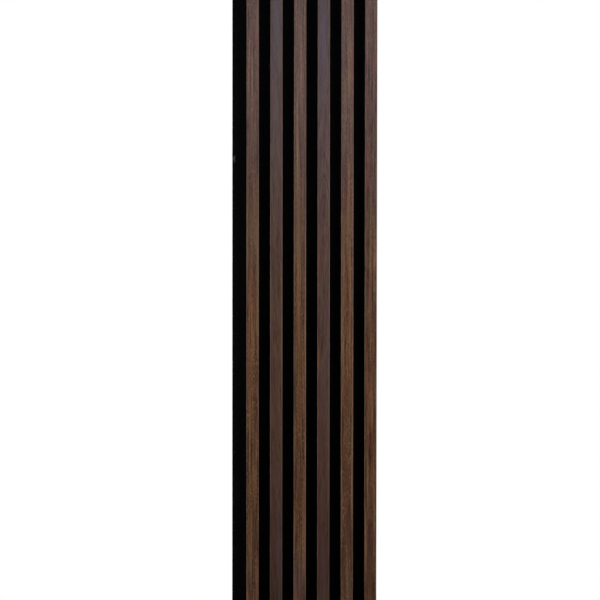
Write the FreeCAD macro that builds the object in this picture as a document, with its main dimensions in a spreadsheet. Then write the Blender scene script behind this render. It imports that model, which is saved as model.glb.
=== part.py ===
import FreeCAD, Part
import math
import os
import Sketcher

# Acoustic slat wall panel: wrapped wood-look slats stapled to a sheet of black felt.
# Frame in millimetres: X to the right and Z up as the panel is seen on the wall, with the front
# facing -Y. The origin is the centre of the felt's back face, which lies against the wall.
# The felt is as wide as its slats' pitches. The slats stand off to the right by the lap, so the
# last one overhangs the felt and a bare strip of felt, one gap and one lap wide, is left on the
# left. The next panel's strip slides under that overhang and the gap runs on unchanged.

# Driving dimensions: alias, value in millimetres or a count, what it is
DRIVING_SIZES = [
    ("panel_length", "1200", "length of slats and felt"),
    ("slat_count", "6", "number of slats"),
    ("slat_pitch", "40", "from one slat to the next"),
    ("slat_width", "20.6", "slat over its facing"),
    ("slat_depth", "12", "from the felt to the front of the facing"),
    ("facing_thickness", "0.5", "wood-look wrap on the front and both sides"),
    ("core_edge_radius", "0.7", "rounding of the core's two front edges"),
    ("felt_thickness", "9", "felt sheet"),
    ("lap_overhang", "5.1", "how far the last slat stands past the felt"),
    ("staple_rows", "5", "staples in each slat"),
    ("staple_end_distance", "50", "from the panel's end to the first row"),
    ("staple_crown_width", "5.8", "staple, outside its legs"),
    ("staple_cover", "3.9", "core left in front of the staple's points"),
    ("staple_wire_thickness", "1", "wire in the plane of the staple"),
    ("staple_wire_width", "1.25", "wire across the plane of the staple"),
    ("staple_point_length", "1.2", "slant of the legs' chisel points"),
    ("staple_sink", "0.6", "how deep the crown is pulled into the felt"),
]

# Codes for the points of a line or arc, and for a sketch's two axes
FIRST_POINT, LAST_POINT, CENTRE_POINT = 1, 2, 3
HORIZONTAL_AXIS, VERTICAL_AXIS = -1, -2

doc = FreeCAD.newDocument("slat_panel")


def make_sheet():
    sheet = doc.addObject("Spreadsheet::Sheet", "sizes")
    for row, (alias, value, note) in enumerate(DRIVING_SIZES, start=1):
        sheet.set(f"A{row}", alias)
        sheet.set(f"B{row}", value)
        sheet.set(f"C{row}", note)
        sheet.setAlias(f"B{row}", alias)
    doc.recompute()
    return sheet


sizes = make_sheet()


def size(alias):
    return float(sizes.get(alias))


def formula(text):
    # Every word that is an alias becomes a reference to its cell
    words = text.split()
    aliases = {alias for alias, value, note in DRIVING_SIZES}
    return " ".join(f"sizes.{word}" if word in aliases else word for word in words)


def bind(owner, path, text):
    owner.setExpression(path, formula(text))


# Sketch helpers

def new_sketch(body, name, plane_role):
    sketch = body.newObject("Sketcher::SketchObject", name)
    plane = next(f for f in body.Origin.OriginFeatures if f.Role == plane_role)
    sketch.AttachmentSupport = [(plane, "")]
    sketch.MapMode = "FlatFace"
    return sketch


def body_axis(body, axis_role):
    return (next(f for f in body.Origin.OriginFeatures if f.Role == axis_role), [""])


def add_line(sketch, start, end):
    a = FreeCAD.Vector(start[0], start[1], 0)
    b = FreeCAD.Vector(end[0], end[1], 0)
    return sketch.addGeometry(Part.LineSegment(a, b))


def add_arc(sketch, centre, radius, first_deg, last_deg):
    circle = Part.Circle(FreeCAD.Vector(centre[0], centre[1], 0), FreeCAD.Vector(0, 0, 1), radius)
    arc = Part.ArcOfCircle(circle, math.radians(first_deg), math.radians(last_deg))
    return sketch.addGeometry(arc)


def constrain(sketch, kind, *where):
    return sketch.addConstraint(Sketcher.Constraint(kind, *where))


def measure(sketch, name, text, kind, *where):
    # A named dimension: it starts at the size drawn, and its formula drives it from then on
    if kind == "Radius":
        drawn = sketch.Geometry[where[0]].Radius
    else:
        span = sketch.getPoint(*where[2:]) - sketch.getPoint(*where[:2])
        drawn = span.x if kind == "DistanceX" else span.y
    index = constrain(sketch, kind, *where, drawn)
    sketch.renameConstraint(index, name)
    bind(sketch, f"Constraints.{name}", text)


def pad(body, sketch, name, text):
    feature = body.newObject("PartDesign::Pad", name)
    feature.Profile = sketch
    feature.SideType = "Symmetric"
    bind(feature, "Length", text)
    body.Tip = feature
    return feature


# Places shared by the pieces

SLAT_CORE_WIDTH = "slat_width - 2 * facing_thickness"
SLAT_CORE_DEPTH = "slat_depth - facing_thickness"
FIRST_SLAT_CENTRE = "slat_pitch + lap_overhang - slat_width / 2 - slat_count * slat_pitch / 2"
FIRST_STAPLE_ROW = "staple_end_distance - panel_length / 2"
STAPLE_LEG = f"felt_thickness + {SLAT_CORE_DEPTH} - staple_cover - staple_sink"


def place_on_slat(body, index):
    bind(body, "Placement.Base.x", f"{FIRST_SLAT_CENTRE} + {index} * slat_pitch")


# Slats: a core with two rounded front edges, and a facing wrapped over its front and sides

def draw_channel(sketch, half_width, depth, radius, back):
    # The open outline of a slat seen from its end: side, rounded edge, front, edge, side
    front = back - depth
    corner = front + radius
    inside = half_width - radius
    right = add_line(sketch, (half_width, back), (half_width, corner))
    right_edge = add_arc(sketch, (inside, corner), radius, -90, 0)
    across = add_line(sketch, (inside, front), (-inside, front))
    left_edge = add_arc(sketch, (-inside, corner), radius, 180, 270)
    left = add_line(sketch, (-half_width, corner), (-half_width, back))
    constrain(sketch, "Tangent", right, LAST_POINT, right_edge, LAST_POINT)
    constrain(sketch, "Tangent", right_edge, FIRST_POINT, across, FIRST_POINT)
    constrain(sketch, "Tangent", across, LAST_POINT, left_edge, LAST_POINT)
    constrain(sketch, "Tangent", left_edge, FIRST_POINT, left, FIRST_POINT)
    constrain(sketch, "Vertical", right)
    constrain(sketch, "Horizontal", across)
    constrain(sketch, "Vertical", left)
    constrain(sketch, "Equal", right_edge, left_edge)
    constrain(sketch, "Symmetric", right, FIRST_POINT, left, LAST_POINT, VERTICAL_AXIS)
    return {"right": right, "right_edge": right_edge, "across": across, "left": left}


def size_core_channel(sketch, channel):
    right, left = channel["right"], channel["left"]
    measure(sketch, "core_width", SLAT_CORE_WIDTH,
            "DistanceX", left, LAST_POINT, right, FIRST_POINT)
    measure(sketch, "core_depth", SLAT_CORE_DEPTH,
            "DistanceY", channel["across"], FIRST_POINT, right, FIRST_POINT)
    measure(sketch, "core_edge", "core_edge_radius", "Radius", channel["right_edge"])
    measure(sketch, "stand_off", "felt_thickness",
            "DistanceY", right, FIRST_POINT, HORIZONTAL_AXIS, FIRST_POINT)


def draw_core_channel(sketch):
    half_width = size("slat_width") / 2 - size("facing_thickness")
    depth = size("slat_depth") - size("facing_thickness")
    channel = draw_channel(sketch, half_width, depth, size("core_edge_radius"), -size("felt_thickness"))
    size_core_channel(sketch, channel)
    return channel


def make_slat_core(index):
    body = doc.addObject("PartDesign::Body", f"core_blank_{index + 1}")
    section = new_sketch(body, f"core_section_{index + 1}", "XY_Plane")
    channel = draw_core_channel(section)
    half_width = size("slat_width") / 2 - size("facing_thickness")
    back = -size("felt_thickness")
    across_back = add_line(section, (-half_width, back), (half_width, back))
    constrain(section, "Coincident", channel["left"], LAST_POINT, across_back, FIRST_POINT)
    constrain(section, "Coincident", across_back, LAST_POINT, channel["right"], FIRST_POINT)
    pad(body, section, f"core_length_{index + 1}", "panel_length")
    place_on_slat(body, index)
    return body


def make_slat_facing(index):
    body = doc.addObject("PartDesign::Body", f"slat_{index + 1}_facing")
    section = new_sketch(body, f"facing_section_{index + 1}", "XY_Plane")
    inner = draw_core_channel(section)
    half_width = size("slat_width") / 2
    back = -size("felt_thickness")
    wrap = size("facing_thickness")
    outer = draw_channel(section, half_width, size("slat_depth"), size("core_edge_radius") + wrap, back)
    constrain(section, "Coincident", inner["right_edge"], CENTRE_POINT, outer["right_edge"], CENTRE_POINT)
    right_foot = add_line(section, (half_width - wrap, back), (half_width, back))
    left_foot = add_line(section, (-half_width, back), (wrap - half_width, back))
    constrain(section, "Coincident", inner["right"], FIRST_POINT, right_foot, FIRST_POINT)
    constrain(section, "Coincident", right_foot, LAST_POINT, outer["right"], FIRST_POINT)
    constrain(section, "Coincident", outer["left"], LAST_POINT, left_foot, FIRST_POINT)
    constrain(section, "Coincident", left_foot, LAST_POINT, inner["left"], LAST_POINT)
    constrain(section, "Horizontal", right_foot)
    measure(section, "wrap", "facing_thickness",
            "DistanceX", right_foot, FIRST_POINT, right_foot, LAST_POINT)
    pad(body, section, f"facing_length_{index + 1}", "panel_length")
    place_on_slat(body, index)
    return body


# Felt: one flat sheet as wide as all the pitches, with its back on the wall

def make_felt_sheet():
    felt = doc.addObject("Part::Box", "felt_sheet")
    bind(felt, "Length", "slat_count * slat_pitch")
    bind(felt, "Width", "felt_thickness")
    bind(felt, "Height", "panel_length")
    bind(felt, "Placement.Base.x", "-1 * slat_count * slat_pitch / 2")
    bind(felt, "Placement.Base.y", "-1 * felt_thickness")
    bind(felt, "Placement.Base.z", "-1 * panel_length / 2")
    return felt


# Staples: bent wire driven in from the back, crown along the slat, one group of rows and columns

def draw_staple(sketch):
    # Seen from the side, with the crown upright: first axis is -Y to +Y, second axis is Z
    # The wire is folded tight, so each bend turns about the inside corner of leg and crown
    crown = -size("staple_sink")
    core_front = size("facing_thickness") - size("slat_depth") - size("felt_thickness")
    tip = core_front + size("staple_cover")
    slant = tip + size("staple_point_length")
    wire = size("staple_wire_thickness")
    corner = crown - wire
    outside = size("staple_crown_width") / 2
    inside = outside - wire
    high_outer = add_line(sketch, (tip, outside), (corner, outside))
    high_bend = add_arc(sketch, (corner, inside), wire, 0, 90)
    crown_back = add_line(sketch, (crown, inside), (crown, -inside))
    low_bend = add_arc(sketch, (corner, -inside), wire, 270, 360)
    low_outer = add_line(sketch, (corner, -outside), (tip, -outside))
    low_point = add_line(sketch, (tip, -outside), (slant, -inside))
    low_inner = add_line(sketch, (slant, -inside), (corner, -inside))
    crown_front = add_line(sketch, (corner, -inside), (corner, inside))
    high_inner = add_line(sketch, (corner, inside), (slant, inside))
    high_point = add_line(sketch, (slant, inside), (tip, outside))

    constrain(sketch, "Tangent", high_outer, LAST_POINT, high_bend, LAST_POINT)
    constrain(sketch, "Tangent", high_bend, FIRST_POINT, crown_back, FIRST_POINT)
    constrain(sketch, "Tangent", crown_back, LAST_POINT, low_bend, LAST_POINT)
    constrain(sketch, "Tangent", low_bend, FIRST_POINT, low_outer, FIRST_POINT)
    constrain(sketch, "Coincident", low_outer, LAST_POINT, low_point, FIRST_POINT)
    constrain(sketch, "Coincident", low_point, LAST_POINT, low_inner, FIRST_POINT)
    constrain(sketch, "Coincident", low_inner, LAST_POINT, crown_front, FIRST_POINT)
    constrain(sketch, "Coincident", crown_front, LAST_POINT, high_inner, FIRST_POINT)
    constrain(sketch, "Coincident", high_inner, LAST_POINT, high_point, FIRST_POINT)
    constrain(sketch, "Coincident", high_point, LAST_POINT, high_outer, FIRST_POINT)
    constrain(sketch, "Coincident", high_bend, CENTRE_POINT, crown_front, LAST_POINT)
    constrain(sketch, "Coincident", low_bend, CENTRE_POINT, crown_front, FIRST_POINT)
    for leg_side in (high_outer, high_inner, low_inner, low_outer):
        constrain(sketch, "Horizontal", leg_side)
    constrain(sketch, "Equal", high_bend, low_bend)
    constrain(sketch, "Symmetric", crown_back, FIRST_POINT, crown_back, LAST_POINT, HORIZONTAL_AXIS)
    constrain(sketch, "Vertical", high_outer, FIRST_POINT, low_outer, LAST_POINT)
    constrain(sketch, "Vertical", high_inner, LAST_POINT, low_inner, FIRST_POINT)

    measure(sketch, "crown_width", "staple_crown_width",
            "DistanceY", low_outer, LAST_POINT, high_outer, FIRST_POINT)
    measure(sketch, "wire", "staple_wire_thickness",
            "DistanceX", crown_front, FIRST_POINT, crown_back, LAST_POINT)
    measure(sketch, "leg", STAPLE_LEG,
            "DistanceX", high_outer, FIRST_POINT, crown_back, FIRST_POINT)
    measure(sketch, "point", "staple_point_length",
            "DistanceX", high_outer, FIRST_POINT, high_inner, LAST_POINT)
    measure(sketch, "sink", "staple_sink",
            "DistanceX", crown_back, FIRST_POINT, HORIZONTAL_AXIS, FIRST_POINT)


def make_staples():
    body = doc.addObject("PartDesign::Body", "back_staples")
    outline = new_sketch(body, "staple_outline", "YZ_Plane")
    draw_staple(outline)
    staple = pad(body, outline, "first_staple", "staple_wire_width")
    doc.recompute()
    grid = body.newObject("PartDesign::LinearPattern", "staple_grid")
    grid.Originals = [staple]
    grid.Direction = body_axis(body, "X_Axis")
    grid.Direction2 = body_axis(body, "Z_Axis")
    bind(grid, "Occurrences", "slat_count")
    bind(grid, "Length", "( slat_count - 1 ) * slat_pitch")
    bind(grid, "Occurrences2", "staple_rows")
    bind(grid, "Length2", "panel_length - 2 * staple_end_distance")
    body.Tip = grid
    bind(body, "Placement.Base.x", FIRST_SLAT_CENTRE)
    bind(body, "Placement.Base.z", FIRST_STAPLE_ROW)
    return body


def let_staples_in(blank, staples, name):
    # The staples part the fibres they go through, so each piece keeps their exact print
    pierced = doc.addObject("Part::Cut", name)
    pierced.Base = blank
    pierced.Tool = staples
    return pierced


def build():
    staples = make_staples()
    pieces = [let_staples_in(make_felt_sheet(), staples, "felt_backing")]
    for index in range(int(size("slat_count"))):
        core = make_slat_core(index)
        pieces.append(let_staples_in(core, staples, f"slat_{index + 1}_core"))
        pieces.append(make_slat_facing(index))
    pieces.append(staples)
    doc.recompute()
    return pieces


def check(pieces):
    failed = [o.Name for o in doc.Objects if "Invalid" in o.State or "Error" in o.State]
    if failed:
        raise RuntimeError(f"objects that failed to recompute: {failed}")
    for piece in pieces:
        if piece.Shape.isNull() or not piece.Shape.isValid() or not piece.Shape.Solids:
            raise RuntimeError(f"{piece.Label} has no valid solid")


def export(pieces):
    os.makedirs("parts", exist_ok=True)
    for piece in pieces:
        piece.Shape.exportStep(f"parts/{piece.Label}.step")
        box = piece.Shape.BoundBox
        print(f"{piece.Label}: {len(piece.Shape.Solids)} solids, {piece.Shape.Volume:.1f} mm3, "
              f"x {box.XMin:.2f}..{box.XMax:.2f} y {box.YMin:.2f}..{box.YMax:.2f} "
              f"z {box.ZMin:.2f}..{box.ZMax:.2f}")


panel = build()
check(panel)
export(panel)
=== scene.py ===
import math

import bpy
from mathutils import Matrix, Vector


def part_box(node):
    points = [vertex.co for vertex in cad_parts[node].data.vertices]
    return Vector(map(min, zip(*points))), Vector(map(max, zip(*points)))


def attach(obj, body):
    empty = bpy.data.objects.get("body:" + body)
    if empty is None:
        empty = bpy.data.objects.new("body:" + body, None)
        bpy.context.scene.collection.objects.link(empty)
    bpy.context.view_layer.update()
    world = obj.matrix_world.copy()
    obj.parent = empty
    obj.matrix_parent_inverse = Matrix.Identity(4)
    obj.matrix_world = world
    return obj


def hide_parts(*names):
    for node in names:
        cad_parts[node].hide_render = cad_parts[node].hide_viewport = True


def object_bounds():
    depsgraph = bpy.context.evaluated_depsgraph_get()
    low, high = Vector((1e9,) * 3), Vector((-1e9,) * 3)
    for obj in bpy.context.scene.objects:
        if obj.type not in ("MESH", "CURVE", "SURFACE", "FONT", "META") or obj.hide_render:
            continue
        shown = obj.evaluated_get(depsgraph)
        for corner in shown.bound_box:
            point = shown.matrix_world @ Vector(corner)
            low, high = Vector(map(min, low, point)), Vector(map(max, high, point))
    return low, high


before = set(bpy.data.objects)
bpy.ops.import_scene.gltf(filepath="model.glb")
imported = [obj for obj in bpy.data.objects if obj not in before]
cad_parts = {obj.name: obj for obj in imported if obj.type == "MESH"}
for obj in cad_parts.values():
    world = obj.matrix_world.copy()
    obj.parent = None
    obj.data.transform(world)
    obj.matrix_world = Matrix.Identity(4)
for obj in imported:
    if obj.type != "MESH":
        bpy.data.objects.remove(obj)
cadLow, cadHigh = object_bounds()
slatNames = sorted(name[:-len("_facing")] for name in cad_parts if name.endswith("_facing"))
millimetres = 1000  # to the metre
print("frame loaded,", len(slatNames), "slats")


# Node wiring, for shaders and geometry alike

class Wire:
    # a value on its way from one node to the next: maths on it adds Math nodes
    def __init__(self, bench, socket):
        self.bench = bench
        self.socket = socket

    def also(self, name):
        return Wire(self.bench, self.socket.node.outputs[name])

    def __add__(self, other):
        return self.bench.maths("ADD", self, other)

    def __sub__(self, other):
        return self.bench.maths("SUBTRACT", self, other)

    def __mul__(self, other):
        return self.bench.maths("MULTIPLY", self, other)

    def __truediv__(self, other):
        return self.bench.maths("DIVIDE", self, other)

    def __rsub__(self, other):
        return self.bench.maths("SUBTRACT", other, self)

    def __rtruediv__(self, other):
        return self.bench.maths("DIVIDE", other, self)

    __radd__ = __add__
    __rmul__ = __mul__


class Bench:
    # a node tree being wired up
    def __init__(self, tree):
        self.tree = tree

    def node(self, kind, settings=None, inputs=None, out=0):
        made = self.tree.nodes.new(kind)
        for name, value in (settings or {}).items():
            if name == "stops":
                self.setStops(made.color_ramp, value)
            else:
                setattr(made, name, value)
        for key, value in (inputs or {}).items():
            if isinstance(value, Wire):
                self.tree.links.new(value.socket, made.inputs[key])
            else:
                made.inputs[key].default_value = value
        return Wire(self, made.outputs[out])

    def setStops(self, ramp, stops):
        while len(ramp.elements) < len(stops):
            ramp.elements.new(1.0)
        for element, (place, colour) in zip(ramp.elements, stops):
            element.position = place
            element.color = (*colour, 1)

    def maths(self, operation, *values):
        return self.node("ShaderNodeMath", {"operation": operation}, dict(enumerate(values)))

    def smooth(self, value, low, high):  # 0 below low, 1 above high, eased between
        span = {"Value": value, "From Min": low, "From Max": high}
        return self.node("ShaderNodeMapRange", {"interpolation_type": "SMOOTHSTEP"}, span)

    def vector(self, x, y, z):
        return self.node("ShaderNodeCombineXYZ", None, {"X": x, "Y": y, "Z": z})

    def split(self, vector):
        x = self.node("ShaderNodeSeparateXYZ", None, {"Vector": vector})
        return x, x.also("Y"), x.also("Z")

    def noise(self, x, y, z, detail=2.0, roughness=0.5):
        grain = {"Vector": self.vector(x, y, z), "Scale": 1.0, "Detail": detail, "Roughness": roughness}
        return self.node("ShaderNodeTexNoise", None, grain)

    def blend(self, amount, under, over):  # sockets 6 and 7 in, and 2 out, are the colour ones
        under = under if isinstance(under, Wire) else (*under, 1)
        over = over if isinstance(over, Wire) else (*over, 1)
        return self.node("ShaderNodeMix", {"data_type": "RGBA"}, {0: amount, 6: under, 7: over}, out=2)

    def place(self):  # the point on the piece, in the object's own frame
        return self.split(self.node("ShaderNodeTexCoord", out="Object"))


def newFinish(name, constants):
    # a material with one Principled shader, whose plain values are set straight on its sockets
    material = bpy.data.materials.new(name)
    material.use_nodes = True
    bench = Bench(material.node_tree)
    shader = material.node_tree.nodes["Principled BSDF"]
    for label, value in constants.items():
        shader.inputs[label].default_value = value
    return material, bench, shader


def feed(bench, shader, label, wire):
    bench.tree.links.new(wire.socket, shader.inputs[label])


def addRelief(bench, shader, height, look):
    bump = {"Strength": look["bump"], "Distance": look["bumpDepth"], "Height": height}
    feed(bench, shader, "Normal", bench.node("ShaderNodeBump", None, bump))


# Geometry trees and the plain meshes made from them

def newTree(name, inputs):
    tree = bpy.data.node_groups.new(name, "GeometryNodeTree")
    for label, kind in {"Geometry": "Geometry", **inputs}.items():
        tree.interface.new_socket(label, in_out="INPUT", socket_type="NodeSocket" + kind)
    tree.interface.new_socket("Geometry", in_out="OUTPUT", socket_type="NodeSocketGeometry")
    bench = Bench(tree)
    start = tree.nodes.new("NodeGroupInput")
    return tree, bench, {label: Wire(bench, start.outputs[label]) for label in ("Geometry", *inputs)}


def endTree(bench, geometry, material):
    whole = bench.node("GeometryNodeRealizeInstances", None, {"Geometry": geometry})
    dressed = bench.node("GeometryNodeSetMaterial", None, {"Geometry": whole, "Material": material})
    end = bench.tree.nodes.new("NodeGroupOutput")
    bench.tree.links.new(dressed.socket, end.inputs["Geometry"])


def grow(name, tree, inputs, seed=None, wall=None):
    # runs a tree on an empty or given mesh, and leaves its result as a plain mesh
    piece = bpy.data.objects.new(name, seed or bpy.data.meshes.new(name))
    bpy.context.scene.collection.objects.link(piece)
    modifier = piece.modifiers.new(name, "NODES")
    modifier.node_group = tree
    for item in tree.interface.items_tree:
        if item.in_out == "INPUT" and item.name in inputs:
            modifier[item.identifier] = inputs[item.name]
    if wall:
        thicken = piece.modifiers.new("wall", "SOLIDIFY")
        thicken.thickness = wall
        thicken.offset = -1
        thicken.use_even_offset = True
    graph = bpy.context.evaluated_depsgraph_get()
    mesh = bpy.data.meshes.new_from_object(piece.evaluated_get(graph), depsgraph=graph)
    piece.modifiers.clear()
    piece.data = mesh
    mesh.name = name
    return piece


def softenEdges(piece, sharpAngle):
    piece.data.polygons.foreach_set("use_smooth", [True] * len(piece.data.polygons))
    piece.data.set_sharp_from_angle(angle=math.radians(sharpAngle))


# Walnut facings: a flat sheet folded over the front and sides of each core

facingSizes = {
    "edgeRadius": 0.0012,
    "thickness": 0.0005,
    "flatColumns": 6,
    "turnColumns": 10,
    "sideColumns": 4,
    "rows": 24,
    "sharpAngle": 50,
}

# tones are dark, middle and light wood, in linear colour
warmTones = [(0.021, 0.0088, 0.0050), (0.079, 0.0345, 0.0178), (0.184, 0.092, 0.044)]
coolTones = [(0.024, 0.0122, 0.0078), (0.057, 0.0282, 0.0183), (0.106, 0.057, 0.037)]
redWood, oliveWood = (0.098, 0.034, 0.022), (0.084, 0.051, 0.021)
greyWood, brownWood = (0.063, 0.027, 0.029), (0.061, 0.040, 0.022)
tints = {
    "gold": (0.190, 0.110, 0.046),
    "rust": (0.150, 0.046, 0.024),
    "mauve": (0.060, 0.043, 0.051),
    "wine": (0.060, 0.024, 0.020),
    "pale": (0.190, 0.135, 0.090),
    "olive": (0.082, 0.052, 0.026),
}

# sizes are across and along the slat in mm, then the layer of noise they are cut from
warmGrain = {"bands": 0.58, "lineSize": (1.7, 110, 2.9), "lineDetail": 2, "lines": 0.92,
             "threadSize": (0.65, 5.6, 4.3), "threads": 0.74}
coolGrain = {"bands": 0.42, "lineSize": (1.3, 44, 2.9), "lineDetail": 3, "lines": 0.78,
             "threadSize": (0.65, 13, 4.3), "threads": 0.66}
veneer = {
    "specular": 0.20,
    "noiseRoughness": 0.6,
    "threadDetail": 3,
    "swaySize": (30, 120, 0.0),
    "swayReach": 5,
    "bandSize": (3.4, 190, 1.7),
    "toneStops": (0.30, 0.50, 0.74),
    "hueSize": (5.0, 60, 5.9),
    "redRange": (0.50, 0.66),       # part of the noise that shows
    "greenRange": (0.50, 0.34),
    "streakSway": 0.25,
    "streakMost": 0.9,
    "brokenByLines": 0.9,
    "brokenByThreads": 1.5,
    "patchSize": (7, 60, 6.7),
    "patchRange": (0.40, 0.60),
    "fleckSize": (0.9, 5.5, 7.9),
    "fleckRange": (0.57, 0.69),
    "clusterSize": (1.6, 8, 9.1),
    "clusterRange": (0.52, 0.66),
    "poreSize": (0.42, 4.5, 10.3),
    "poreRange": (0.46, 0.60),
    "poreColour": (0.024, 0.012, 0.009),
    "roughness": 0.39,
    "roughByLines": 0.08,
    "roughByPores": 0.15,
    "reliefByThreads": 0.35,
    "reliefByLines": 0.25,
    "reliefByPores": 0.8,
    "bump": 0.25,
    "bumpDepth": 0.0003,
}
ringArcs = {"step": 11, "curve": 22, "sway": 0.5, "turns": 2.0, "reach": 60, "crest": (0.55, 1.0)}
# lighter edges of the facing: partly rubbed wear, partly a painted highlight of the rounded edges
edgeRubAndHighlight = {
    "size": (8, 45, 11.3),
    "from": (8.4, 9.6),
    "until": (11.6, 10.6),
    "least": 0.35,
    "change": 1.1,
    "strength": 0.15,
    "colour": (0.190, 0.112, 0.074),
}

# streaks by tint: across and up from the slat's middle, half width, half length in mm, strength
# tone changes and speckle: up from the middle, half length in mm, how much lighter or more speckled; the
# tone changes are partly the board's own tone, partly painted shade that follows the lamps' fall of light
# along the panel
slatLooks = {
    "slat_1": {
        "seed": 3.1, "tones": warmTones, "grain": warmGrain, "lean": 0.0,
        "hueChange": 0.60, "redder": redWood, "greener": oliveWood,
        "pores": 0.48, "flecks": 0.85, "arcs": 0.0, "arcHeight": 0,
        "toneAndPaintedShade": [(254, 95, -0.09), (85, 70, 0.02), (-85, 70, -0.04), (-230, 150, -0.05)],
        "speckle": [(200, 190, -0.35), (-260, 200, 0.85)],
        "streaks": {
            "gold": [(-1.2, 387, 1.3, 45, 0.45), (8.0, 83, 0.9, 50, 0.55), (7.2, -23, 1.0, 45, 0.60),
                     (-4.6, -232, 0.9, 115, 0.95), (-2.6, -455, 1.0, 50, 0.75)],
            "olive": [(1.0, 120, 7.0, 55, 0.55)],
            "mauve": [(-6.5, -470, 2.5, 35, 0.45)],
            "wine": [(3.0, -420, 3.5, 60, 0.35)],
            "rust": [(-1.2, 448, 1.2, 16, 0.50), (-4.6, 4, 1.3, 32, 0.75), (-6.5, -80, 2.0, 70, 0.45)],
        },
    },
    "slat_2": {
        "seed": 17.4, "tones": coolTones, "grain": coolGrain, "lean": 0.05,
        "hueChange": 0.85, "redder": greyWood, "greener": brownWood,
        "pores": 0.30, "flecks": 0.12, "arcs": 0.25, "arcHeight": 40,
        "toneAndPaintedShade": [(215, 100, -0.045), (-440, 110, -0.12)],
        "speckle": [],
        "streaks": {
            "mauve": [(3.0, 470, 4.0, 60, 0.60), (4.5, -420, 4.0, 95, 0.52)],
            "rust": [(8.5, 30, 1.5, 50, 0.25)],
            "wine": [(-5.0, -410, 4.0, 100, 0.70)],
        },
    },
    "slat_3": {
        "seed": 29.8, "tones": warmTones, "grain": warmGrain, "lean": 0.0,
        "hueChange": 0.38, "redder": redWood, "greener": oliveWood,
        "pores": 0.45, "flecks": 0.70, "arcs": 0.0, "arcHeight": 0,
        "toneAndPaintedShade": [(254, 80, -0.05), (-250, 220, -0.05), (-430, 100, 0.04)],
        "speckle": [(290, 260, -0.34), (-300, 200, 0.05), (-450, 90, 0.40)],
        "streaks": {
            "gold": [(-4.3, 304, 1.5, 60, 0.45), (-4.4, 213, 1.3, 50, 0.55), (-2.8, 72, 2.0, 55, 0.45),
                     (-2.0, -34, 2.0, 65, 0.40), (8.6, -62, 0.9, 45, 0.60), (0.0, -458, 1.0, 45, 0.60),
                     (6.2, -440, 0.8, 55, 0.55)],
            "rust": [(7.2, 287, 0.9, 24, 0.60), (8.8, 100, 1.0, 20, 0.45), (-2.8, -380, 1.6, 40, 0.40)],
            "pale": [(5.5, -383, 0.7, 32, 0.45)],
            "olive": [(0.0, 110, 7.0, 70, 0.40)],
            "mauve": [(-5.0, -465, 3.0, 45, 0.65), (3.0, -480, 4.0, 40, 0.45)],
            "wine": [(1.5, -380, 4.5, 70, 0.30)],
        },
    },
    "slat_4": {
        "seed": 41.2, "tones": coolTones, "grain": coolGrain, "lean": -0.06,
        "hueChange": 0.85, "redder": greyWood, "greener": brownWood,
        "pores": 0.25, "flecks": 0.12, "arcs": 0.55, "arcHeight": 205,
        "toneAndPaintedShade": [(240, 90, 0.02), (-430, 90, -0.05)],
        "speckle": [(150, 200, 0.25)],
        "streaks": {
            "mauve": [(0.0, 440, 5.0, 80, 0.55), (1.5, -20, 2.0, 26, 0.60), (2.0, -128, 3.5, 60, 0.60),
                      (0.0, -465, 4.0, 50, 0.60)],
            "rust": [(5.4, 268, 1.5, 28, 0.35), (-8.7, 59, 1.2, 30, 0.45), (-7.8, -93, 1.3, 26, 0.55)],
            "wine": [(-5.0, -430, 3.5, 90, 0.55), (6.5, -440, 2.5, 70, 0.45)],
        },
    },
    "slat_5": {
        "seed": 58.6, "tones": warmTones, "grain": warmGrain, "lean": 0.0,
        "hueChange": 0.60, "redder": redWood, "greener": oliveWood,
        "pores": 0.60, "flecks": 0.70, "arcs": 0.30, "arcHeight": -40,
        "toneAndPaintedShade": [(254, 80, -0.07), (85, 80, 0.02), (-254, 75, -0.06), (-430, 90, -0.05)],
        "speckle": [(370, 190, -0.30), (-350, 180, 0.45), (-460, 80, 0.50)],
        "streaks": {
            "gold": [(2.0, 397, 1.0, 48, 0.55), (2.9, 208, 1.2, 44, 0.55), (4.6, 88, 1.3, 50, 0.55),
                     (-7.0, -70, 0.9, 40, 0.50), (-8.8, -322, 0.9, 90, 0.60), (8.2, -330, 0.9, 60, 0.45),
                     (0.4, -463, 1.0, 60, 0.85)],
            "rust": [(-8.0, 495, 1.2, 14, 0.60), (1.5, 160, 1.5, 30, 0.55), (7.8, -90, 1.2, 36, 0.40)],
            "wine": [(-4.5, -440, 3.0, 80, 0.70), (1.0, -340, 5.0, 100, 0.45), (5.0, -420, 3.0, 70, 0.50)],
            "mauve": [(5.0, -485, 3.0, 35, 0.50)],
        },
    },
    "slat_6": {
        "seed": 73.3, "tones": warmTones, "grain": warmGrain, "lean": 0.0,
        "hueChange": 0.60, "redder": redWood, "greener": oliveWood,
        "pores": 0.75, "flecks": 0.45, "arcs": 0.35, "arcHeight": -360,
        "toneAndPaintedShade": [(230, 150, -0.11), (-150, 150, -0.06), (-254, 70, -0.03), (-400, 120, -0.01)],
        "speckle": [(-250, 200, 0.30)],
        "streaks": {
            "gold": [(0.0, 79, 1.4, 46, 0.55), (1.7, -174, 1.4, 42, 0.60)],
            "rust": [(-8.5, 220, 1.2, 40, 0.35), (4.0, -260, 2.4, 90, 0.35), (-4.0, -200, 2.0, 70, 0.30)],
            "mauve": [(5.6, 185, 2.0, 20, 0.50)],
            "wine": [(0.0, 480, 3.2, 45, 0.60), (3.5, -120, 2.2, 60, 0.40), (0.5, -420, 5.0, 110, 0.50)],
            "pale": [(-8.4, -395, 0.8, 40, 0.50)],
        },
    },
}


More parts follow.
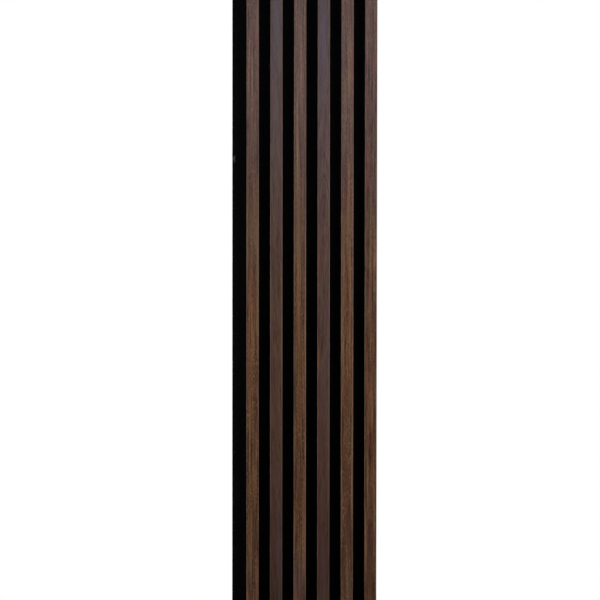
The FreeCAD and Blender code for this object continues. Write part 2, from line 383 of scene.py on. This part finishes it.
def facingTree():
    lengths = ["Centre", "Width", "Depth", "Edge Radius", "Back", "Length", "Low"]
    counts = ["Flat Columns", "Turn Columns", "Side Columns", "Rows"]
    kinds = {**{label: "Float" for label in lengths}, **{label: "Int" for label in counts}}
    tree, bench, given = newTree("facing fold", {**kinds, "Material": "Material"})
    radius = given["Edge Radius"]
    flat = given["Width"] / 2 - radius
    turn = radius * (math.pi / 2)
    side = given["Depth"] - radius
    toTurn = given["Flat Columns"]
    toSide = toTurn + given["Turn Columns"]
    toFoot = toSide + given["Side Columns"]

    sheet = bench.node("GeometryNodeMeshGrid", None, {
        "Size X": toFoot * 2, "Size Y": given["Length"],
        "Vertices X": toFoot * 2 + 1, "Vertices Y": given["Rows"] + 1})
    column, along = bench.split(bench.node("GeometryNodeInputPosition"))[:2]
    reach = bench.maths("ABSOLUTE", column)
    hand = bench.maths("SIGN", column)

    def stretch(first, last, size):  # columns from first to last share out a length
        span = {"Value": reach, "From Min": first, "From Max": last, "To Min": 0.0, "To Max": size}
        return bench.node("ShaderNodeMapRange", None, span)

    onFlat = stretch(0.0, toTurn, flat)
    onTurn = stretch(toTurn, toSide, turn)
    onSide = stretch(toSide, toFoot, side)
    laidFlat = bench.vector(hand * (onFlat + onTurn + onSide), along, 0.0)
    kept = bench.node("GeometryNodeStoreNamedAttribute", {"data_type": "FLOAT_VECTOR", "domain": "POINT"},
                      {"Geometry": sheet, "Name": "sheetPlace", "Value": laidFlat})
    angle = onTurn / radius
    x = hand * (onFlat + radius * bench.maths("SINE", angle)) + given["Centre"]
    y = given["Back"] - given["Depth"] + radius * (1 - bench.maths("COSINE", angle)) + onSide
    z = along + given["Length"] / 2 + given["Low"]
    folded = bench.node("GeometryNodeSetPosition", None,
                        {"Geometry": kept, "Position": bench.vector(x, y, z)})
    endTree(bench, folded, given["Material"])
    return tree


def hump(bench, value, middle, halfWidth):
    away = (value - middle) / halfWidth
    return bench.maths("EXPONENT", 0 - away * away)


def streakMask(bench, lane, up, streaks):
    total = 0.0
    for besideAt, upAt, halfWidth, halfLength, strength in streaks:
        beside = (lane - besideAt) / halfWidth
        along = (up - upAt) / halfLength
        total = bench.maths("EXPONENT", 0 - (beside * beside + along * along)) * strength + total
    return total


def walnut(slat):
    look = slatLooks[slat]
    grain = look["grain"]
    material, bench, shader = newFinish(f"walnut {slat}", {"Specular IOR Level": veneer["specular"]})
    place = bench.node("ShaderNodeAttribute", {"attribute_name": "sheetPlace"}, out="Vector")
    across, up = [length * millimetres for length in bench.split(place)[:2]]

    def drawnOut(x, size, **more):
        width, length, layer = size
        return bench.noise(x / width, up / length, look["seed"] + layer, **more)

    sway = (drawnOut(across, veneer["swaySize"]) - 0.5) * veneer["swayReach"]
    lane = across + sway + up * look["lean"]
    bands = drawnOut(lane, veneer["bandSize"]) - 0.5
    lines = drawnOut(lane, grain["lineSize"], detail=grain["lineDetail"],
                     roughness=veneer["noiseRoughness"]) - 0.5
    threads = drawnOut(lane, grain["threadSize"], detail=veneer["threadDetail"],
                       roughness=veneer["noiseRoughness"]) - 0.5
    speckle = 1.0
    for upAt, halfLength, more in look["speckle"]:
        speckle = hump(bench, up, upAt, halfLength) * more + speckle
    tone = 0.5 + (bands * grain["bands"] + lines * grain["lines"]) * speckle
    tone = tone + threads * (0.5 + speckle * 0.5) * grain["threads"]
    for upAt, halfLength, lighter in look["toneAndPaintedShade"]:  # slow changes along the length: partly the board's own tone, partly painted shade
        tone = hump(bench, up, upAt, halfLength) * lighter + tone

    stops = list(zip(veneer["toneStops"], look["tones"]))
    wood = bench.node("ShaderNodeValToRGB", {"stops": stops}, {0: tone})
    hue = drawnOut(lane, veneer["hueSize"])
    wood = bench.blend(bench.smooth(hue, *veneer["redRange"]) * look["hueChange"], wood, look["redder"])
    wood = bench.blend(bench.smooth(hue, *veneer["greenRange"]) * look["hueChange"], wood, look["greener"])
    broken = 1 + lines * veneer["brokenByLines"] + threads * veneer["brokenByThreads"]
    for tint, streaks in look["streaks"].items():
        mask = streakMask(bench, across + sway * veneer["streakSway"], up, streaks) * broken
        wood = bench.blend(bench.maths("MINIMUM", mask, veneer["streakMost"]), wood, tints[tint])

    # arcs of the growth rings, where the sheet was cut across them
    if look["arcs"]:
        ring = (up - look["arcHeight"]) / ringArcs["step"] + across * across / ringArcs["curve"]
        ring = ring + sway * ringArcs["sway"]
        crest = bench.maths("SINE", ring * ringArcs["turns"] + lines * ringArcs["turns"])
        near = hump(bench, up, look["arcHeight"], ringArcs["reach"])
        arcMask = bench.smooth(crest, *ringArcs["crest"]) * near * look["arcs"]
        wood = bench.blend(arcMask, wood, look["tones"][0])

    # short golden flecks in patches, and open pores drawn out along the grain
    patch = bench.smooth(drawnOut(across, veneer["patchSize"]), *veneer["patchRange"])
    fleck = bench.smooth(drawnOut(lane, veneer["fleckSize"], detail=1), *veneer["fleckRange"])
    wood = bench.blend(fleck * patch * look["flecks"] * speckle, wood, tints["gold"])
    cluster = bench.smooth(drawnOut(lane, veneer["clusterSize"], detail=1), *veneer["clusterRange"])
    pore = bench.smooth(drawnOut(lane, veneer["poreSize"], detail=1), *veneer["poreRange"]) * cluster
    wood = bench.blend(pore * look["pores"], wood, veneer["poreColour"])

    # the sheet is painted lighter where it turns the slat's edges: partly rubbed wear, partly a painted
    # highlight of the rounded edges
    reach = bench.maths("ABSOLUTE", across)
    rubAndHighlight = bench.smooth(reach, *edgeRubAndHighlight["from"]) * bench.smooth(reach, *edgeRubAndHighlight["until"])
    rubAndHighlight = rubAndHighlight * (edgeRubAndHighlight["least"] + drawnOut(across, edgeRubAndHighlight["size"]) * edgeRubAndHighlight["change"])
    wood = bench.blend(rubAndHighlight * edgeRubAndHighlight["strength"], wood, edgeRubAndHighlight["colour"])

    feed(bench, shader, "Base Color", wood)
    rough = veneer["roughness"] + lines * veneer["roughByLines"] + pore * veneer["roughByPores"]
    feed(bench, shader, "Roughness", rough)
    relief = threads * veneer["reliefByThreads"] + lines * veneer["reliefByLines"]
    addRelief(bench, shader, relief - pore * veneer["reliefByPores"], veneer)
    return material


def makeFacings():
    tree = facingTree()
    for slat in slatNames:
        low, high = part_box(slat + "_facing")
        facing = grow(slat + "_wrap", tree, {
            "Centre": (low.x + high.x) / 2,
            "Width": high.x - low.x,
            "Depth": high.y - low.y,
            "Edge Radius": facingSizes["edgeRadius"],
            "Back": high.y,
            "Length": high.z - low.z,
            "Low": low.z,
            "Flat Columns": facingSizes["flatColumns"],
            "Turn Columns": facingSizes["turnColumns"],
            "Side Columns": facingSizes["sideColumns"],
            "Rows": facingSizes["rows"],
            "Material": walnut(slat),
        }, wall=facingSizes["thickness"])
        softenEdges(facing, facingSizes["sharpAngle"])
        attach(facing, "root")
        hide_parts(slat + "_facing")
    print("walnut facings folded over their cores")


# Fibreboard cores: they show at the sawn ends and under the last slat's overhang

coreLook = {
    "board": (0.300, 0.196, 0.116),
    "shade": (0.205, 0.128, 0.072),
    "chip": (0.410, 0.290, 0.180),
    "specular": 0.2,
    "mottleSize": (2.2, 1.1, 2.2),  # in mm along X, Y and Z
    "mottleRange": (0.35, 0.65),
    "chipSize": (0.45, 0.22, 0.45),
    "chipRange": (0.58, 0.72),
    "chipStrength": 0.6,
    "roughness": 0.78,
    "roughByChips": 0.15,
    "bump": 0.4,
    "bumpDepth": 0.0003,
}


def fibreboard():
    material, bench, shader = newFinish("sawn fibreboard", {"Specular IOR Level": coreLook["specular"]})
    place = [length * millimetres for length in bench.place()]
    mottle = bench.noise(*(length / size for length, size in zip(place, coreLook["mottleSize"])),
                         detail=3, roughness=0.65)
    chips = bench.noise(*(length / size for length, size in zip(place, coreLook["chipSize"])),
                        detail=2, roughness=0.6)
    mottled = bench.smooth(mottle, *coreLook["mottleRange"])
    board = bench.blend(mottled, coreLook["shade"], coreLook["board"])
    chipMask = bench.smooth(chips, *coreLook["chipRange"]) * coreLook["chipStrength"]
    feed(bench, shader, "Base Color", bench.blend(chipMask, board, coreLook["chip"]))
    feed(bench, shader, "Roughness", coreLook["roughness"] + chips * coreLook["roughByChips"])
    addRelief(bench, shader, chips, coreLook)
    return material


def dressCores():
    board = fibreboard()
    for slat in slatNames:
        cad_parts[slat + "_core"].material_slots[0].material = board
    print("cores dressed")


# Felt: one needled sheet, dented where the staples pull it in, with loose fibres on its faces

feltLook = {
    "cells": (72, 2, 360),      # divisions along X, Y and Z
    "dentDepth": 0.0011,        # back face at a staple
    "dentRadius": 0.0060,
    "backSkin": (-0.001, -0.0001),
    "rim": 0.0005,              # how far the edges' fraying reaches in
    "ripple": 0.00018,
    "rippleScale": 60,
    "fray": 2,                  # times the ripple
    "frayScale": (220, 160, 220),
    "sharpAngle": 50,
    "stapleRows": 5,
    "stapleCrown": 0.0058,
    "fibresPerArea": 9000,
    "fibreLength": 0.0032,
    "fibreThickness": 0.00003,
    "fibreLean": ((1.25, -0.4, 0.0), (1.53, 0.4, 6.28)),  # least and most turn, in radians
    "fibreScale": (0.4, 1.3),
    "frontSkin": 0.0005,
    "seed": 7,
    "dark": (0.0004, 0.0004, 0.0005),
    "light": (0.0029, 0.0029, 0.0030),
    "loose": (0.011, 0.011, 0.0115),
    "specular": 0.01,
    "looseSpecular": 0.05,
    "looseRoughness": 0.9,
    "sheen": 1.0,
    "sheenSpread": 0.32,
    "sheenTint": (0.30, 0.30, 0.31),
    "strandTurns": (0.3, 1.2, 2.3),
    "strandSize": (2.6, 0.24, 0.5),  # long, thin and deep, in mm
    "strandShift": 9,
    "strandSharpness": 3.2,
    "cloudSize": (16, 6, 16),
    "cloudLeast": 0.4,
    "cloudChange": 0.9,
    "cloudRelief": 0.8,
    "roughness": 0.95,
    "smoothByTangle": 0.12,
    "bump": 0.6,
    "bumpDepth": 0.0004,
}
hair = {"rings": 4, "sides": 3, "root": -0.04, "bow": 0.25}


def blackFelt():
    constants = {"Specular IOR Level": feltLook["specular"], "Sheen Weight": feltLook["sheen"],
                 "Sheen Roughness": feltLook["sheenSpread"], "Sheen Tint": (*feltLook["sheenTint"], 1)}
    material, bench, shader = newFinish("black felt", constants)
    x, y, z = [length * millimetres for length in bench.place()]
    strandLong, strandThin, strandDeep = feltLook["strandSize"]
    tangle = 0.0
    for turn in feltLook["strandTurns"]:  # fibres lie in every direction, here in three
        along = x * math.cos(turn) + z * math.sin(turn)
        beside = z * math.cos(turn) - x * math.sin(turn)
        depth = y / strandDeep + turn * feltLook["strandShift"]
        strand = bench.noise(along / strandLong, beside / strandThin, depth, detail=1)
        ridge = 1 - bench.maths("ABSOLUTE", strand * 2 - 1) * feltLook["strandSharpness"]
        tangle = bench.maths("MAXIMUM", ridge, tangle)
    cloud = bench.noise(*(length / size for length, size in zip((x, y, z), feltLook["cloudSize"])))
    shown = tangle * (feltLook["cloudLeast"] + cloud * feltLook["cloudChange"])
    feed(bench, shader, "Base Color", bench.blend(shown, feltLook["dark"], feltLook["light"]))
    feed(bench, shader, "Roughness", feltLook["roughness"] - tangle * feltLook["smoothByTangle"])
    addRelief(bench, shader, tangle + cloud * feltLook["cloudRelief"], feltLook)
    return material


def looseFibres():
    constants = {"Base Color": (*feltLook["loose"], 1), "Roughness": feltLook["looseRoughness"],
                 "Specular IOR Level": feltLook["looseSpecular"]}
    return newFinish("loose felt fibres", constants)[0]


def feltTree():
    lengths = ["Staple Left", "Staple Low", "Column Pitch", "Row Pitch", "Half Crown", "Dent Depth",
               "Dent Radius", "Ripple"]
    counts = ["Cells X", "Cells Y", "Cells Z"]
    kinds = {**{label: "Float" for label in lengths}, **{label: "Int" for label in counts}}
    kinds = {"Size": "Vector", "Centre": "Vector", **kinds, "Material": "Material"}
    tree, bench, given = newTree("felt sheet", kinds)
    block = bench.node("GeometryNodeMeshCube", None, {
        "Size": given["Size"], "Vertices X": given["Cells X"] + 1,
        "Vertices Y": given["Cells Y"] + 1, "Vertices Z": given["Cells Z"] + 1})
    sheet = bench.node("GeometryNodeSetPosition", None, {"Geometry": block, "Offset": given["Centre"]})
    x, y, z = bench.split(bench.node("GeometryNodeInputPosition"))
    halfWidth, halfLength = [size / 2 for size in bench.split(given["Size"])[::2]]
    rim = feltLook["rim"]

    def fromNearest(value, first, pitch):  # signed distance to the nearest staple of a row
        return bench.maths("WRAP", value - first, pitch / 2, pitch / -2)

    beside = fromNearest(x, given["Staple Left"], given["Column Pitch"])
    along = bench.maths("ABSOLUTE", fromNearest(z, given["Staple Low"], given["Row Pitch"]))
    past = bench.maths("MAXIMUM", along - given["Half Crown"], 0.0)
    away = bench.maths("SQRT", beside * beside + past * past) / given["Dent Radius"]
    onBack = bench.smooth(y, *feltLook["backSkin"])
    dent = (1 - bench.smooth(away, 0.0, 1.0)) * given["Dent Depth"]
    waves = bench.noise(*(length * feltLook["rippleScale"] for length in (x, y, z))) * given["Ripple"]
    onSides = bench.smooth(bench.maths("ABSOLUTE", x), halfWidth - rim, halfWidth)
    onEnds = bench.smooth(bench.maths("ABSOLUTE", z), halfLength - rim, halfLength)
    frayed = bench.noise(*(length * scale for length, scale in zip((x, y, z), feltLook["frayScale"])))
    frayed = frayed * given["Ripple"] * feltLook["fray"]
    moved = bench.vector(
        x - bench.maths("SIGN", x) * onSides * frayed,
        y - onBack * (dent + waves),
        z - bench.maths("SIGN", z) * onEnds * frayed)
    shaped = bench.node("GeometryNodeSetPosition", None, {"Geometry": sheet, "Position": moved})
    endTree(bench, shaped, given["Material"])
    return tree


def fuzzTree():
    lengths = ["Density", "Fibre Length", "Fibre Thickness", "Slat Centre", "Slat Pitch", "Slat Cover",
               "Front"]
    kinds = {**{label: "Float" for label in lengths}, "Seed": "Int", "Material": "Material"}
    tree, bench, given = newTree("felt fuzz", kinds)
    spots = bench.node("GeometryNodeDistributePointsOnFaces", {"distribute_method": "RANDOM"},
                       {"Mesh": given["Geometry"], "Density": given["Density"], "Seed": given["Seed"]})
    turned = spots.also("Rotation")
    x, y = bench.split(bench.node("GeometryNodeInputPosition"))[:2]
    halfPitch = given["Slat Pitch"] / 2
    beside = bench.maths("WRAP", x - given["Slat Centre"], halfPitch, halfPitch * -1)
    hidden = bench.maths("LESS_THAN", bench.maths("ABSOLUTE", beside), given["Slat Cover"] / 2)
    atFront = bench.maths("LESS_THAN", y, given["Front"] + feltLook["frontSkin"])
    bare = bench.node("GeometryNodeDeleteGeometry", {"domain": "POINT"},
                      {"Geometry": spots, "Selection": hidden * atFront})

    fibre = fibreShape(bench, given["Fibre Length"], given["Fibre Thickness"])
    leastLean, mostLean = feltLook["fibreLean"]
    leastScale, mostScale = feltLook["fibreScale"]
    swing = bench.node("FunctionNodeRandomValue", {"data_type": "FLOAT_VECTOR"},
                       {0: leastLean, 1: mostLean, "Seed": given["Seed"]})
    spun = bench.node("FunctionNodeEulerToRotation", None, {0: swing})
    rotation = bench.node("FunctionNodeRotateRotation", {"rotation_space": "LOCAL"}, {0: turned, 1: spun})
    scale = bench.node("FunctionNodeRandomValue", {"data_type": "FLOAT"},
                       {2: leastScale, 3: mostScale, "Seed": given["Seed"] + 3}, out=1)
    fuzz = bench.node("GeometryNodeInstanceOnPoints", None,
                      {"Points": bare, "Instance": fibre, "Rotation": rotation, "Scale": scale})
    endTree(bench, fuzz, given["Material"])
    return tree


def fibreShape(bench, length, thickness):
    # one bowed hair, a few sides round
    line = bench.node("GeometryNodeCurveQuadraticBezier", None, {
        "Resolution": hair["rings"],
        "Start": bench.vector(0.0, 0.0, length * hair["root"]),
        "Middle": bench.vector(length * hair["bow"], 0.0, length * 0.5),
        "End": bench.vector(0.0, 0.0, length)})
    ring = bench.node("GeometryNodeCurvePrimitiveCircle", None,
                      {"Resolution": hair["sides"], "Radius": thickness})
    return bench.node("GeometryNodeCurveToMesh", None, {"Curve": line, "Profile Curve": ring})


def makeFelt():
    low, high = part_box("felt_backing")
    stapleLow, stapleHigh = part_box("back_staples")
    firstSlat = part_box(slatNames[0] + "_facing")
    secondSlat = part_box(slatNames[1] + "_facing")
    slatCentre = (firstSlat[0].x + firstSlat[1].x) / 2
    slatPitch = secondSlat[0].x - firstSlat[0].x
    crown = feltLook["stapleCrown"]
    cells = feltLook["cells"]
    felt = grow("felt_sheet", feltTree(), {
        "Size": high - low,
        "Centre": (low + high) / 2,
        "Staple Left": slatCentre,
        "Staple Low": stapleLow.z + crown / 2,
        "Column Pitch": slatPitch,
        "Row Pitch": (stapleHigh.z - stapleLow.z - crown) / (feltLook["stapleRows"] - 1),
        "Half Crown": crown / 2,
        "Dent Depth": feltLook["dentDepth"],
        "Dent Radius": feltLook["dentRadius"],
        "Ripple": feltLook["ripple"],
        "Cells X": cells[0],
        "Cells Y": cells[1],
        "Cells Z": cells[2],
        "Material": blackFelt(),
    })
    softenEdges(felt, feltLook["sharpAngle"])
    fuzz = grow("felt_fuzz", fuzzTree(), {
        "Density": feltLook["fibresPerArea"],
        "Fibre Length": feltLook["fibreLength"],
        "Fibre Thickness": feltLook["fibreThickness"],
        "Slat Centre": slatCentre,
        "Slat Pitch": slatPitch,
        "Slat Cover": firstSlat[1].x - firstSlat[0].x + feltLook["fibreLength"],
        "Front": low.y,
        "Seed": feltLook["seed"],
        "Material": looseFibres(),
    }, seed=felt.data.copy())
    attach(felt, "root")
    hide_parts("felt_backing")
    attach(fuzz, "root")
    print("felt laid:", len(felt.data.polygons), "faces,", len(fuzz.data.polygons), "in its fuzz")


# Lint: two wisps of pale fibre caught on the bare strip

lintLook = {
    "wisps": [  # distance from the strip's left edge, height, half width, half height, bow, fibres
        (0.0030, 0.2385, 0.0013, 0.0078, 0.0030, 120),
        (0.0046, -0.260, 0.0006, 0.0012, 0.0, 7),
    ],
    "fibreLength": 0.0036,
    "fibreThickness": 0.000018,
    "clearance": 0.0001,
    "fibreTurn": (0.06, 6.28, 0.0),  # most turn, in radians
    "fibreScale": (0.4, 1.0),
    "pale": (0.33, 0.32, 0.31),
    "dull": (0.20, 0.195, 0.19),
    "patchScale": 900,
    "specular": 0.1,
    "roughness": 0.8,
    "roughByPatches": 0.15,
}


def paleLint():
    material, bench, shader = newFinish("pale lint", {"Specular IOR Level": lintLook["specular"]})
    patches = bench.noise(*(length * lintLook["patchScale"] for length in bench.place()))
    feed(bench, shader, "Base Color", bench.blend(patches, lintLook["dull"], lintLook["pale"]))
    feed(bench, shader, "Roughness", lintLook["roughness"] + patches * lintLook["roughByPatches"])
    return material


def lintTree():
    kinds = {"Place": "Vector", "Reach": "Vector", "Bow": "Float", "Fibres": "Int", "Fibre Length": "Float",
             "Fibre Thickness": "Float", "Seed": "Int", "Material": "Material"}
    tree, bench, given = newTree("lint wisp", kinds)

    def scatter(low, high, seed):
        between = {0: low, 1: high, "Seed": seed}
        return bench.node("FunctionNodeRandomValue", {"data_type": "FLOAT_VECTOR"}, between)

    # two draws multiplied crowd the fibres towards the middle, and the ends bow to the right
    firstX, firstZ = bench.split(scatter((-1, 0, -1), (1, 0, 1), given["Seed"]))[::2]
    nextX, nextZ = bench.split(scatter((-1, 0, -1), (1, 0, 1), given["Seed"] + 1))[::2]
    reachX, reachZ = bench.split(given["Reach"])[::2]
    height = firstZ * nextZ
    spread = bench.vector(firstX * nextX * reachX + height * height * given["Bow"], 0.0, height * reachZ)
    spot = bench.node("ShaderNodeVectorMath", {"operation": "ADD"}, {0: spread, 1: given["Place"]})
    spots = bench.node("GeometryNodePoints", None, {"Count": given["Fibres"], "Position": spot})
    fibre = fibreShape(bench, given["Fibre Length"], given["Fibre Thickness"])
    turn = scatter((0.0, 0.0, 0.0), lintLook["fibreTurn"], given["Seed"] + 2)
    turned = bench.node("FunctionNodeEulerToRotation", None, {0: turn})
    leastScale, mostScale = [(scale, scale, scale) for scale in lintLook["fibreScale"]]
    scaled = scatter(leastScale, mostScale, given["Seed"] + 3)
    wisp = bench.node("GeometryNodeInstanceOnPoints", None,
                      {"Points": spots, "Instance": fibre, "Rotation": turned, "Scale": scaled})
    endTree(bench, wisp, given["Material"])
    return tree


def layLint():
    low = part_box("felt_backing")[0]
    tree = lintTree()
    finish = paleLint()
    for number, (inward, height, halfWidth, halfHeight, bow, fibres) in enumerate(lintLook["wisps"], 1):
        wisp = grow(f"lint_{number}", tree, {
            "Place": (low.x + inward, low.y - lintLook["clearance"], height),
            "Reach": (halfWidth, 0.0, halfHeight),
            "Bow": bow,
            "Fibres": fibres,
            "Fibre Length": lintLook["fibreLength"],
            "Fibre Thickness": lintLook["fibreThickness"],
            "Seed": number,
            "Material": finish,
        })
        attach(wisp, "root")
    print("lint laid on the bare strip")


# Staples: plated wire

stapleLook = {
    "bright": (0.60, 0.60, 0.62),
    "dull": (0.38, 0.38, 0.39),
    "wearScale": (900, 900, 300),
    "roughness": 0.28,
    "roughByWear": 0.25,
}


def dressStaples():
    material, bench, shader = newFinish("plated wire", {"Metallic": 1.0})
    place = (length * scale for length, scale in zip(bench.place(), stapleLook["wearScale"]))
    worn = bench.noise(*place, detail=3)
    feed(bench, shader, "Base Color", bench.blend(worn, stapleLook["dull"], stapleLook["bright"]))
    feed(bench, shader, "Roughness", stapleLook["roughness"] + worn * stapleLook["roughByWear"])
    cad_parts["back_staples"].material_slots[0].material = material
    print("staples dressed")


# Stage: a pale floor, soft lamps, a white surround and the camera

stage = {
    "floorRadius": 0.75,
    "floorSides": 96,
    "floorColour": (0.80, 0.80, 0.80),
    "floorHaze": 0.30,
    "floorFade": (0.30, 0.98),  # parts of the radius
    "surround": 0.02,
    "sweepTilt": 0.8,
    "sweepRange": (-0.9, 0.6),
    "lamps": {
        "left": {"place": (-2.00, -0.92, 0.0), "aim": 0.06, "size": (0.6, 0.6), "power": 5.15, "spread": 64,
                 "colour": (1.01, 0.98, 0.94)},
        "right": {"place": (1.90, -1.10, 0.0), "aim": 0.06, "size": (1.2, 0.6), "power": 8.25, "spread": 64,
                  "colour": (1.01, 0.98, 0.94)},
        "top": {"place": (0.0, -0.9, 0.57), "aim": 0.55, "size": (0.42, 0.70), "power": 1.17, "spread": 100,
                "colour": (0.83, 0.97, 1.36)},
        "back": {"place": (-0.9, 2.0, 1.2), "aim": 0.0, "size": (1.2, 1.2), "power": 80, "spread": 180,
                 "colour": (1, 1, 1)},
    },
}
camera = {
    "lens": 200,
    "sensor": 36,
    "shown": 1.0150,  # metres across the picture
    "aim": (-0.005, 0.0),
    "pitch": 2.3,
    "roll": 0.062,
    "farthest": 50,
}


def makeFloor():
    mesh = bpy.data.meshes.new("floor")
    sides = stage["floorSides"]
    turns = [step * math.tau / sides for step in range(sides)]
    rim = [(stage["floorRadius"] * math.cos(turn), stage["floorRadius"] * math.sin(turn), cadLow.z)
           for turn in turns]
    mesh.from_pydata(rim, [], [list(range(sides))])
    floor = bpy.data.objects.new("floor", mesh)
    bpy.context.scene.collection.objects.link(floor)
    material = bpy.data.materials.new("pale floor")
    material.use_nodes = True
    bench = Bench(material.node_tree)
    x, y = bench.place()[:2]
    away = bench.maths("SQRT", x * x + y * y) / stage["floorRadius"]
    rays = bench.node("ShaderNodeLightPath", out="Is Camera Ray")
    cover = bench.node("ShaderNodeBsdfDiffuse", None, {"Color": (*stage["floorColour"], 1)})
    white = bench.node("ShaderNodeEmission", None, {"Color": (1, 1, 1, 1), "Strength": 1.0})
    haze = stage["floorHaze"]
    fade = (haze + bench.smooth(away, *stage["floorFade"]) * (1 - haze)) * rays
    mixed = bench.node("ShaderNodeMixShader", None, {0: fade, 1: cover, 2: white})
    end = material.node_tree.nodes["Material Output"]
    material.node_tree.links.new(mixed.socket, end.inputs["Surface"])
    mesh.materials.append(material)
    floor.visible_glossy = False


def makeSurround():
    world = bpy.data.worlds.new("surround")
    world.use_nodes = True
    bpy.context.scene.world = world
    bench = Bench(world.node_tree)
    seen = bench.node("ShaderNodeLightPath", out="Is Camera Ray")
    through = bench.maths("MAXIMUM", seen, seen.also("Is Transmission Ray"))
    y, z = bench.split(bench.node("ShaderNodeTexCoord", out="Generated"))[1:]
    # the white sweep is behind and overhead
    behind = bench.smooth(y + z * stage["sweepTilt"], *stage["sweepRange"])
    mirrored = seen.also("Is Glossy Ray") * behind
    soft = bench.node("ShaderNodeBackground", None, {"Color": (1, 1, 1, 1), "Strength": stage["surround"]})
    white = bench.node("ShaderNodeBackground", None, {"Color": (1, 1, 1, 1), "Strength": 1.0})
    amount = bench.maths("MAXIMUM", through, mirrored)
    mixed = bench.node("ShaderNodeMixShader", None, {0: amount, 1: soft, 2: white})
    world.node_tree.links.new(mixed.socket, world.node_tree.nodes["World Output"].inputs["Surface"])


def addLamps():
    for name, look in stage["lamps"].items():
        light = bpy.data.lights.new("lamp " + name, "AREA")
        light.shape = "RECTANGLE"
        light.size, light.size_y = look["size"]
        light.energy = look["power"]
        light.spread = math.radians(look["spread"])
        light.color = look["colour"]
        lamp = bpy.data.objects.new("lamp " + name, light)
        lamp.location = look["place"]
        target = Vector((0, 0, look["aim"]))
        lamp.rotation_euler = (target - lamp.location).to_track_quat("-Z", "Y").to_euler()
        bpy.context.scene.collection.objects.link(lamp)


def makeCamera():
    data = bpy.data.cameras.new("camera")
    data.lens = camera["lens"]
    data.sensor_width = camera["sensor"]
    data.clip_end = camera["farthest"]
    viewer = bpy.data.objects.new("camera", data)
    away = camera["shown"] * camera["lens"] / camera["sensor"]
    pitch = math.radians(camera["pitch"])
    aim = Vector((camera["aim"][0], cadLow.y, camera["aim"][1]))
    back = Vector((0, -math.cos(pitch), math.sin(pitch)))
    turn = (-back).to_track_quat("-Z", "Y").to_matrix().to_4x4()
    roll = Matrix.Rotation(math.radians(camera["roll"]), 4, "Z")
    viewer.matrix_world = Matrix.Translation(aim + back * away) @ turn @ roll
    bpy.context.scene.collection.objects.link(viewer)
    bpy.context.scene.camera = viewer


makeFacings()
dressCores()
makeFelt()
layLint()
dressStaples()
makeFloor()
makeSurround()
addLamps()
makeCamera()
bpy.context.scene.view_settings.view_transform = "Standard"
print("stage set")
